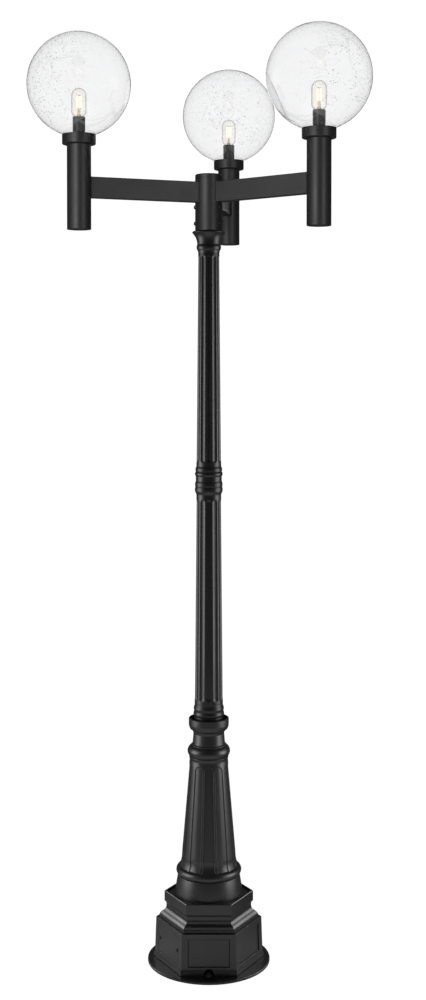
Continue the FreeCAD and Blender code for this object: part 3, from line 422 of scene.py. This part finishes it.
def bar(path, radius, sides):
    """A round bar with closed ends along a path, its radius one number or one per point."""
    radii = radius if isinstance(radius, list) else [radius] * len(path)
    path = [Vector(spot) for spot in path]
    points = []
    side = None
    for k, here in enumerate(path):
        ahead = (path[min(k + 1, len(path) - 1)] - path[max(k - 1, 0)]).normalized()
        if side is None:
            side = ahead.orthogonal().normalized()
        side = (side - ahead * side.dot(ahead)).normalized()
        other = ahead.cross(side)
        for j in range(sides):
            x, y = on_circle(1.0, j, sides)
            points.append(here + (side * x + other * y) * radii[k])
    rings = even_rings(len(path), sides)
    return points, bands(rings) + flipped([rings[0]]) + [tuple(rings[-1])]


def joined(*shapes):
    """Several shapes as one."""
    points, faces = [], []
    for more_points, more_faces in shapes:
        shift = len(points)
        points += more_points
        faces += [tuple(k + shift for k in face) for face in more_faces]
    return points, faces


def moved(shape, matrix):
    points, faces = shape
    return [matrix @ point for point in points], faces


def lamp_axis(number):
    low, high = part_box(f"lamp_tube_{number}")
    return Vector(((low.x + high.x) / 2, (low.y + high.y) / 2, 0))


def lamp_place(number, height):
    """Where a lamp's pieces go: +X points away from the hub, and the origin is at the height."""
    axis = lamp_axis(number)
    turn = Matrix.Rotation(math.atan2(axis.y, axis.x), 4, "Z")
    return Matrix.Translation((axis.x, axis.y, height)) @ turn


# ---- Globes: blown glass with seeds --------------------------------------------------------------
GLOBE_FILLET_R = 2.0 * MM           # between the ball and the neck
GLOBE_FOOT_H = 4.0 * MM             # where the neck's inside begins
GLOBE_SIDES = 176
BALL_STEPS = 84
FILLET_STEPS = 6
POLE_ANGLE = 89                     # of the ball's last ring, beside the pole
SLOW_WAVES, SLOW_DEPTH = 3.1, 0.16  # unevenness of the wall: how close its waves, and millimetres
QUICK_WAVES, QUICK_DEPTH = 9.0, 0.03
INWARD = 0.2                        # millimetres, so that the waves stay inside the CAD globe
OUTSIDE_SHARE = 0.35                # of that on the outside of the wall
NECK_SHARE = 0.9                    # of the radius below the middle: the neck is not uneven
SEED_COUNT = 2000                   # in each globe
SEED_DEPTH = 0.8 * MM               # at most, through the wall
SEED_LOW, SEED_HIGH = -0.93, 0.995  # heights of the lowest and the highest, in radii


def globe_profile(radius, middle, foot):
    """From the inner pole down the inside, round the foot's lip and up the outside."""
    inner_r = radius - GLOBE_WALL
    corner_x = GLOBE_NECK_R + GLOBE_FILLET_R
    corner_z = middle - math.sqrt((radius + GLOBE_FILLET_R) ** 2 - corner_x ** 2)
    corner = (corner_x, corner_z)
    lean = math.degrees(math.atan2(corner_z - middle, corner_x))
    lip = GLOBE_WALL / 2
    inside = arc((0, middle), inner_r, POLE_ANGLE, lean, BALL_STEPS)
    inside += arc(corner, GLOBE_FILLET_R + GLOBE_WALL, 180 + lean, 180, FILLET_STEPS)[1:]
    inside.append((GLOBE_NECK_R - GLOBE_WALL, foot + GLOBE_FOOT_H))
    bend = arc((GLOBE_NECK_R - lip, foot + lip), lip, 180, 360, 8)
    outside = arc(corner, GLOBE_FILLET_R, 180, 180 + lean, FILLET_STEPS)
    outside += arc((0, middle), radius, lean, POLE_ANGLE, BALL_STEPS)[1:]
    return [(0.0, middle + inner_r)] + inside + bend + outside + [(0.0, middle + radius)]


def hand_blown(point, middle, radius, seed):
    """A point of the glass moved a little inward, as the wall of blown glass is uneven."""
    if point.z < middle - radius * NECK_SHARE:
        return point
    from_middle = point - Vector((0, 0, middle))
    away = from_middle.normalized()
    slow = noise.noise(away * SLOW_WAVES + Vector((seed, 0, 0)))
    quick = noise.noise(away * QUICK_WAVES + Vector((0, seed, 0)))
    depth = (slow * SLOW_DEPTH + quick * QUICK_DEPTH - INWARD) * MM
    inner = from_middle.length < radius - GLOBE_WALL / 2
    return point + away * (depth * (1.0 if inner else OUTSIDE_SHARE))


def seed_shape(rng, place, away, length, width, depth):
    """One air bubble: a small egg flattened in the wall. Its faces look into the bubble, which is
    out of the glass."""
    across = away.orthogonal().normalized()
    across.rotate(Matrix.Rotation(rng.uniform(0, 2 * math.pi), 3, away))
    other = away.cross(across)
    points, faces = turned([(0.0, -1.0)] + arc((0, 0), 1.0, -38, 38, 1) + [(0.0, 1.0)], 6)
    made = [place + across * (p.z * length) + other * (p.x * width) + away * (p.y * depth)
            for p in points]
    return made, flipped(faces)


def seeds(number, axis, middle, radius):
    """Seeds gather in drifts, as the glass is gathered and blown, most of them toward the crown and
    the side away from the hub."""
    rng = random.Random(90 + number)
    outward = axis.normalized()
    shapes = []
    while len(shapes) < SEED_COUNT:
        up = rng.uniform(SEED_LOW, SEED_HIGH)
        turn = rng.uniform(0, 2 * math.pi)
        flat = math.sqrt(1 - up * up)
        away = Vector((flat * math.cos(turn), flat * math.sin(turn), up))
        drift = noise.noise(away * 1.7 + Vector((3.0 * number, 0, 0)))
        # 1 at the crown and on the side away from the hub, where seeds are larger too
        outer = min(1.0, max(0.0, 1.15 * away.dot(outward)) + max(0.0, up - 0.45))
        if rng.random() > (0.24 + 0.76 * outer) * (0.75 + 1.1 * drift):
            continue
        width = (0.34 + (0.30 + 0.60 * outer) * rng.random() ** 1.5) * MM
        length = width * rng.uniform(1.0, 1.7)
        depth = min(width, SEED_DEPTH)
        wall_place = radius - GLOBE_WALL / 2 - 0.05 * MM + rng.uniform(-0.3, 0.3) * MM
        place = axis + Vector((0, 0, middle)) + away * wall_place
        shapes.append(seed_shape(rng, place, away, length, width, depth))
    return joined(*shapes)


for lamp in LAMPS:
    low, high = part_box(f"globe_{lamp}")
    globe_r = (high.x - low.x) / 2
    globe_mid = high.z - globe_r
    centre = lamp_axis(lamp)
    body = f"globe_{lamp}_body"
    points, faces = turned(globe_profile(globe_r, globe_mid, low.z), GLOBE_SIDES)
    points = [hand_blown(point, globe_mid, globe_r, 7.0 * lamp) for point in points]
    ball = piece(f"glass_globe_{lamp}", moved((points, faces), Matrix.Translation(centre)), SEEDY,
                 body)
    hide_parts(f"globe_{lamp}")
    piece(f"glass_seeds_{lamp}", seeds(lamp, centre, globe_mid, globe_r), BUBBLE, body)


# ---- Bulbs: heights are from the foot of the glass -----------------------------------------------
ROD_TOP_H = STEM_H + ROD_H
ROD_SPOTS = [(ROD_CIRCLE_R * math.cos(math.radians(45 + 90 * k)),
              ROD_CIRCLE_R * math.sin(math.radians(45 + 90 * k))) for k in range(4)]
PRESS_H = 18 * MM                   # the middle of the stem's flattened press
BULB_TURNS = (0, 22, -31)           # degrees, as no two bulbs come to rest alike
THREAD_PITCH = 3.63 * MM
THREAD_DEPTH = 0.5 * MM
THREAD_R = BASE_R - 0.55 * MM       # the middle of the thread
THREAD_STEPS = 96
BASE_SIDES = 48


def bulb_side(height, inset):
    """The tubular glass from its foot up to its pole."""
    bulge = BULB_SHOULDER_H - MM
    step = BULB_R - BULB_NECK_R
    shoulder_r = (step ** 2 + bulge ** 2) / (2 * step)
    middle = (BULB_R - shoulder_r, BULB_SHOULDER_H)
    start = -math.degrees(math.asin(bulge / shoulder_r))
    dome = height - BULB_R
    line = [(BULB_NECK_R - inset, 0.0)]
    line += arc(middle, shoulder_r - inset, start, 0, 14)
    line += [(BULB_R - inset, BULB_SHOULDER_H + (dome - BULB_SHOULDER_H) * k / 6)
             for k in range(1, 6)]
    return line + arc((0, dome), BULB_R - inset, 0, 88, 22) + [(0.0, height - inset)]


def bulb_envelope(height):
    """In down the inside, out and up the outside."""
    return turned(bulb_side(height, BULB_WALL)[::-1] + bulb_side(height, 0.0), 96)


def glass_mount():
    """The flared glass stem with its flattened press, the rod above it and the bead on top."""
    flare = [(9.0, 0.4), (8.8, 1.2), (6.6, 4.0), (5.0, 7.5), (4.0, 11.0), (3.4, 14.0),
             (3.1, 17.0), (2.5, 20.0), (1.5, 22.5), (1.25, 26.0), (1.2, 40.0), (1.2, 56.0)]
    profile = [(0.0, 0.4 * MM)] + [(reach * MM, height * MM) for reach, height in flare]
    profile += [(1.3 * MM, ROD_TOP_H - 2.4 * MM)]
    profile += arc((0, ROD_TOP_H - 0.6 * MM), 2.1 * MM, -50, 84, 8)
    points, faces = turned(profile + [(0.0, ROD_TOP_H + 1.5 * MM)], 28)
    for point in points:
        pressed = max(0.0, 1 - abs(point.z - PRESS_H) / (6 * MM))
        point.y *= 1 - 0.55 * pressed
        point.x *= 1 + 0.5 * pressed
    return points, faces


def lead_wires():
    """Wires from the press to the rods' feet, the hooks at the top, the weld tabs, and the two
    wires below the press."""
    shapes = []
    for x, y in ROD_SPOTS:
        lean = 1 if x > 0 else -1
        foot = [(lean * 2.2 * MM, y * 0.1, 15 * MM), (lean * 2.8 * MM, y * 0.2, 19 * MM),
                (x * 0.72, y * 0.55, 21.5 * MM), (x * 0.98, y * 0.95, 23.4 * MM),
                (x, y, STEM_H - 0.2 * MM)]
        shapes.append(bar(foot, 0.32 * MM, 8))
        hook = [(0, 0, ROD_TOP_H + 0.2 * MM), (x * 0.35, y * 0.35, ROD_TOP_H + 1.5 * MM),
                (x * 0.75, y * 0.75, ROD_TOP_H + 1.9 * MM), (x, y, ROD_TOP_H + 1.3 * MM),
                (x, y, ROD_TOP_H - 0.3 * MM)]
        shapes.append(bar(hook, 0.30 * MM, 8))
        for low, high in ((STEM_H - 1.6 * MM, STEM_H + 1.0 * MM),
                          (ROD_TOP_H - 1.0 * MM, ROD_TOP_H + 1.4 * MM)):
            heights = (low, low + 0.3 * MM, high - 0.3 * MM, high)
            shapes.append(bar([(x, y, height) for height in heights],
                              [0.5 * MM, 0.72 * MM, 0.72 * MM, 0.5 * MM], 10))
    for lean in (-1, 1):
        shapes.append(bar([(lean * 3.0 * MM, 0, 0.6 * MM), (lean * 2.6 * MM, 0, 8 * MM),
                           (lean * 2.2 * MM, 0, 15 * MM)], 0.3 * MM, 8))
    return joined(*shapes)


def glow_rods():
    heights = [STEM_H + 0.6 * MM, STEM_H + 1.1 * MM]
    heights += [STEM_H + (ROD_TOP_H - STEM_H) * k / 8 for k in range(1, 8)]
    heights += [ROD_TOP_H - 1.1 * MM, ROD_TOP_H - 0.6 * MM]
    radii = [ROD_R * 0.6] + [ROD_R] * (len(heights) - 2) + [ROD_R * 0.6]
    return joined(*[bar([(x, y, height) for height in heights], radii, 14)
                    for x, y in ROD_SPOTS])


def screw_base(height):
    """The bulb's screw base: a rolled thread, a skirt, and at its foot the contact and the step out
    to the thread, all of one metal.
    Its own heights are from the contact's tip."""
    foot, top = 4.5 * MM, height - 5.0 * MM
    points = []
    for i in range(THREAD_STEPS + 1):
        z = foot + (top - foot) * i / THREAD_STEPS
        fade = max(0.0, min(1.0, (z - foot) / (2 * MM), (top - z) / (2 * MM)))
        for k in range(BASE_SIDES):
            wave = math.cos(2 * math.pi * z / THREAD_PITCH - 2 * math.pi * k / BASE_SIDES)
            reach = THREAD_R + THREAD_DEPTH * wave * fade
            points.append(Vector((*on_circle(reach, k, BASE_SIDES), z)))
    thread = (points, bands(even_rings(THREAD_STEPS + 1, BASE_SIDES)))
    skirt = turned([(THREAD_R, top), (BASE_R - 0.25 * MM, top + 0.6 * MM),
                    (BASE_R - 0.1 * MM, height), (BASE_R - 0.9 * MM, height), (0.0, height)],
                   BASE_SIDES)
    tip = turned([(0.0, 0.02 * MM), (3.2 * MM, 0.1 * MM), (4.6 * MM, 0.7 * MM),
                  (5.0 * MM, 1.6 * MM), (5.0 * MM, 2.0 * MM), (BASE_R - 2.2 * MM, 3.6 * MM),
                  (BASE_R - 0.7 * MM, 4.1 * MM), (THREAD_R, foot)], BASE_SIDES)
    return joined(thread, skirt, tip)


for lamp in LAMPS:
    low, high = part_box(f"bulb_glass_{lamp}")
    turn = Matrix.Rotation(math.radians(BULB_TURNS[lamp - 1]), 4, "Z")
    place = lamp_place(lamp, low.z) @ turn
    body = f"bulb_{lamp}"
    envelope = piece(f"bulb_envelope_{lamp}", moved(bulb_envelope(high.z - low.z), place),
                     BULB_GLASS, body)
    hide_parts(f"bulb_glass_{lamp}")
    mount = piece(f"bulb_mount_{lamp}", moved(glass_mount(), place), STEM_GLASS, body)
    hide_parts(f"bulb_filament_{lamp}")
    piece(f"bulb_leads_{lamp}", moved(lead_wires(), place), LEAD, body)
    piece(f"bulb_rods_{lamp}", moved(glow_rods(), place), FILAMENT, body)
    low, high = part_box(f"bulb_base_{lamp}")
    base = piece(f"bulb_screw_base_{lamp}",
                 moved(screw_base(high.z - low.z), lamp_place(lamp, low.z)), CAP_METAL, body)
    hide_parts(f"bulb_base_{lamp}")


# ---- Weld fillets where the arms meet the hub and the lamp tubes ---------------------------------
WELD_LEG = 1.8 * MM
WELD_SINK = 0.05 * MM               # into the arm, so that no gap shows
WELD_STEP = 1.2 * MM                # longest step along an arm's outline
WELD_STEPS = 5                      # across the bead
CORNER_STEPS = 5


def arm_outline(foot, top):
    """Points round an arm's section, as (across, height, out across, out up)."""
    half = ARM_W / 2
    found = []
    for x, z, start in ((half, top, 0), (-half, top, 90), (-half, foot, 180), (half, foot, 270)):
        cx = x - math.copysign(ARM_EDGE_R, x)
        cz = z - ARM_EDGE_R if z == top else z + ARM_EDGE_R
        for k in range(CORNER_STEPS + 1):
            angle = math.radians(start + 90 * k / CORNER_STEPS)
            out_x, out_z = math.cos(angle), math.sin(angle)
            found.append((cx + ARM_EDGE_R * out_x, cz + ARM_EDGE_R * out_z, out_x, out_z))
    spread = []
    for here, there in zip(found, found[1:] + found[:1]):
        spread.append(here)
        count = int(math.hypot(there[0] - here[0], there[1] - here[1]) / WELD_STEP)
        for k in range(1, count):
            spread.append(tuple(a + (b - a) * (k / count) for a, b in zip(here, there)))
    return spread


def weld_fillet(outline, upright_r, upright_x, toward, rng):
    """A small hollow bead round an arm where it meets an upright tube. toward is +1 where the arm
    runs to +X from the tube, and -1 where it comes from there."""
    points, faces = [], []
    for step, (y, z, out_y, out_z) in enumerate(outline):
        leg = WELD_LEG * (1 + 0.07 * math.sin(step * 2.1) + rng.uniform(-0.04, 0.04))
        for j in range(WELD_STEPS):
            angle = j / (WELD_STEPS - 1) * math.pi / 2
            lift, along = leg * (1 - math.sin(angle)), leg * (1 - math.cos(angle))
            py, pz = y + out_y * (lift - WELD_SINK), z + out_z * (lift - WELD_SINK)
            reach = math.sqrt(upright_r ** 2 - py ** 2) - 0.1 * MM
            points.append(Vector((upright_x + toward * (reach + along), py, pz)))
    for i in range(len(outline)):
        here, after = i * WELD_STEPS, (i + 1) % len(outline) * WELD_STEPS
        faces += [(here + j, after + j, after + j + 1, here + j + 1)
                  for j in range(WELD_STEPS - 1)]
    return points, faces if toward > 0 else flipped(faces)


for lamp in LAMPS:
    low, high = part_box(f"arm_{lamp}")
    outline = arm_outline(low.z, high.z)
    axis = lamp_axis(lamp)
    rng = random.Random(40 + lamp)
    beads = joined(weld_fillet(outline, HUB_R, 0.0, 1, rng),
                   weld_fillet(outline, LAMP_TUBE_R, axis.length, -1, rng))
    direction = Matrix.Rotation(math.atan2(axis.y, axis.x), 4, "Z")
    piece(f"arm_welds_{lamp}", moved(beads, direction), TUBE, "head")


# ---- Door screws with a cross recess -------------------------------------------------------------
HEAD_R = 4.4 * MM
HEAD_H = 2.6 * MM
HEAD_RINGS = 14
HEAD_SIDES = 48
SLOT_HALF_W = 0.55 * MM
SLOT_REACH = 2.3 * MM
SHANK_R = 2.35 * MM
SHANK_L = 11 * MM


def door_screw_places():
    """Each screw's place on the door, as a matrix with +Z out of the door."""
    spots = [vertex.co.copy() for vertex in frame["nodes"]["door_screws"].data.vertices]
    low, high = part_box("access_door")
    middle = (low + high) / 2
    across = Vector((0, 0, 1)).cross(DOOR_OUT).normalized()
    up = DOOR_OUT.cross(across)
    places = []
    for side in (-1, 1):
        near = [spot for spot in spots if (spot - middle).dot(across) * side > 0]
        face = max(spot.dot(DOOR_OUT) for spot in near)
        across_reach = [spot.dot(across) for spot in near]
        up_reach = [spot.dot(up) for spot in near]
        centre = (across * ((min(across_reach) + max(across_reach)) / 2)
                  + up * ((min(up_reach) + max(up_reach)) / 2) + DOOR_OUT * face)
        places.append(Matrix([(across[k], up[k], DOOR_OUT[k], centre[k]) for k in range(3)]
                             + [(0, 0, 0, 1)]))
    return places


def cross_head():
    """A domed head, 0 at its crown, with a cross recess sunk into it, and its shank."""
    points = []
    for i in range(HEAD_RINGS + 1):
        angle = i / HEAD_RINGS * math.pi / 2
        for k in range(HEAD_SIDES):
            x, y = on_circle(HEAD_R * math.sin(angle), k, HEAD_SIDES)
            z = -0.55 * HEAD_H * (1 - math.cos(angle)) - 0.02 * MM
            nearer, farther = sorted((abs(x), abs(y)))
            if nearer < SLOT_HALF_W and farther < SLOT_REACH:
                z -= 0.35 * MM + 0.9 * MM * (1 - farther / SLOT_REACH)
            points.append(Vector((x, y, z)))
    points += [Vector((*on_circle(HEAD_R, k, HEAD_SIDES), -HEAD_H)) for k in range(HEAD_SIDES)]
    head = (points, flipped(bands(even_rings(HEAD_RINGS + 2, HEAD_SIDES))))
    return joined(head, bar([(0, 0, -HEAD_H + 0.2 * MM), (0, 0, -HEAD_H - SHANK_L)], SHANK_R, 20))


door_heads = piece("door_screw_heads",
                   joined(*[moved(cross_head(), place) for place in door_screw_places()]), SCREW,
                   "door")
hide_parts("door_screws")


# ---- Stage: floor, sky and lights ----------------------------------------------------------------
def seen_directly(tree):
    """1 for what the eye sees, also through glass, and 0 for what lights and reflects."""
    path = add(tree, "ShaderNodeLightPath").outputs
    return maths(tree, "MAXIMUM", path["Is Camera Ray"], path["Is Transmission Ray"])


def floor_material():
    """White to the eye. What it lights and reflects is a pool of light in front of the post."""
    material, tree, shader = new_material("pale_floor")
    place = object_place(tree)
    cloud = noise_at(tree, place, 1.3, 3.0)
    tree.links.new(mixed(tree, cloud, grey(0.55), grey(0.60)), shader.inputs["Base Color"])
    tree.links.new(ranged(tree, cloud, 0.3, 0.7, 0.6, 0.7), shader.inputs["Roughness"])
    shader.inputs["Emission Color"].default_value = (1, 1, 1, 1)
    away = measured(tree, "DISTANCE", place, (0.0, -1.2, 0.0))
    back = measured(tree, "DOT_PRODUCT", place, (0.22, 1.0, 0.0))
    pool = maths(tree, "MINIMUM", ranged(tree, away, 0.8, 2.0, 0.85, 0.08),
                 ranged(tree, back, -0.35, 0.40, 0.85, 0.04))
    tree.links.new(maths(tree, "MAXIMUM", seen_directly(tree), pool),
                   shader.inputs["Emission Strength"])
    return material


mesh_object("floor", turned([(40.0, 0.0), (0.0, 0.0)], 96), floor_material())

world = bpy.data.worlds.new("studio")
bpy.context.scene.world = world
world.use_nodes = True
sky = world.node_tree
sky.nodes.clear()
# White to the eye. What it lights and reflects is dim, a little less so at the back.
toward_back = measured(sky, "DOT_PRODUCT", add(sky, "ShaderNodeTexCoord").outputs["Generated"],
                       (0.0, 1.0, 0.0))
dim = mixed(sky, ranged(sky, toward_back, 0.80, 0.97, 0.0, 1.0), grey(0.07), grey(0.10))
sky_colour = mixed(sky, seen_directly(sky), dim, grey(1.05))
sky_shader = add(sky, "ShaderNodeBackground", {"Color": sky_colour, "Strength": 1.0})
sky_out = sky.nodes.new("ShaderNodeOutputWorld")
sky.links.new(sky_shader.outputs[0], sky_out.inputs["Surface"])


def receivers(name, *beginnings):
    """The pieces that a light falls on, by how their names begin."""
    group = bpy.data.collections.new(name)
    for made in bpy.context.scene.objects:
        if made.type == "MESH" and made.name.startswith(beginnings):
            group.objects.link(made)
    return group


def softbox(name, place, target, width, height, power, group):
    """An area light that faces its target and lights only its group. The eye sees none of it."""
    light = bpy.data.lights.new(name, "AREA")
    light.shape = "RECTANGLE"
    light.size, light.size_y = width, height
    light.energy = power
    made = bpy.data.objects.new(name, light)
    bpy.context.scene.collection.objects.link(made)
    made.location = place
    made.rotation_euler = (Vector(target) - Vector(place)).to_track_quat("-Z", "Y").to_euler()
    made.visible_camera = False
    made.visible_transmission = False
    made.light_linking.receiver_collection = group


PEDESTAL = receivers("pedestal_lit", "fluted_pedestal")
PLINTH = receivers("plinth_lit", "base_plinth", "access_door", "door_screw")
SHAFT = receivers("shaft_lit", "lower_shaft", "upper_shaft", "shaft_coupling", "fluted_pedestal",
                  "pedestal_screws")
HEAD = receivers("head_lit", "hub_", "arm_", "lamp_tube", "tube_end_cap", "globe_collar",
                 "collar_screws", "globe_gasket", "stem_nipple", "socket_", "bulb_screw_base",
                 "bulb_leads")
BACK_ARM = receivers("back_arm_lit", "arm_3")
RIGHT_ARM = receivers("right_arm_lit", "arm_2")
PLINTH_MID, CONE_MID, SHAFT_MID, HEAD_MID = (0, 0, 0.25), (0, 0, 0.6), (0, 0, 1.2), (0, 0, 2.4)
# Name, place, target, width, height, watts and what it lights
LIGHTS = (
    ("back_right", (1.15, 3.3, 2.2), (0.05, 0.3, 2.35), 0.8, 0.8, 6.0, BACK_ARM),
    ("arm_fill", (-2.2, -0.93, 2.6), (0.3, -0.24, 2.35), 0.5, 1.2, 3.8, RIGHT_ARM),
    ("left_box", (-3.0, -0.35, 1.2), SHAFT_MID, 2.0, 2.6, 76.0, SHAFT),
    ("right_box", (3.0, -0.35, 1.2), SHAFT_MID, 2.0, 2.6, 68.0, SHAFT),
    ("ogee_left", (-2.2, 1.0, 1.35), PLINTH_MID, 1.3, 1.6, 44.0, PLINTH),
    ("ogee_right", (2.2, 1.0, 1.35), PLINTH_MID, 1.3, 1.6, 42.0, PLINTH),
    ("cone_left", (-2.9, -0.6, 0.9), CONE_MID, 1.1, 1.4, 17.0, PEDESTAL),
    ("cone_right", (2.9, -0.6, 0.9), CONE_MID, 1.1, 1.4, 19.0, PEDESTAL),
    ("ogee_front", (0, -2.3, 2.2), PLINTH_MID, 1.6, 1.6, 9.0, PLINTH),
    ("head_key", (-1.6, -2.6, 2.4), HEAD_MID, 1.3, 0.9, 36.0, HEAD),
    ("head_side", (-2.6, -1.4, 2.4), HEAD_MID, 0.8, 1.2, 6.0, HEAD),
    ("head_fill", (2.1, -2.4, 2.4), HEAD_MID, 0.9, 0.9, 15.0, HEAD),
)
for settings in LIGHTS:
    softbox(*settings)

# ---- Camera --------------------------------------------------------------------------------------
SENSOR = 36.0
LENS_SHARE = 1.4                    # of the sensor's side
DOWNWARD = 1.3                      # degrees

scene = bpy.context.scene
camera_data = bpy.data.cameras.new("camera")
camera = bpy.data.objects.new("camera", camera_data)
scene.collection.objects.link(camera)
camera_data.sensor_fit = "AUTO"
camera_data.sensor_width = SENSOR
camera_data.lens = LENS_SHARE * SENSOR
camera_data.shift_x = 0.0042
camera_data.shift_y = -0.108
camera.location = (0.0, -4.26, 1.836)
camera.rotation_euler = (math.radians(90 - DOWNWARD), 0, 0)
scene.camera = camera

scene.view_settings.view_transform = "Standard"
scene.cycles.caustics_refractive = False
scene.cycles.caustics_reflective = False
scene.cycles.transmission_bounces = 20
scene.cycles.transparent_max_bounces = 20
scene.cycles.max_bounces = 24
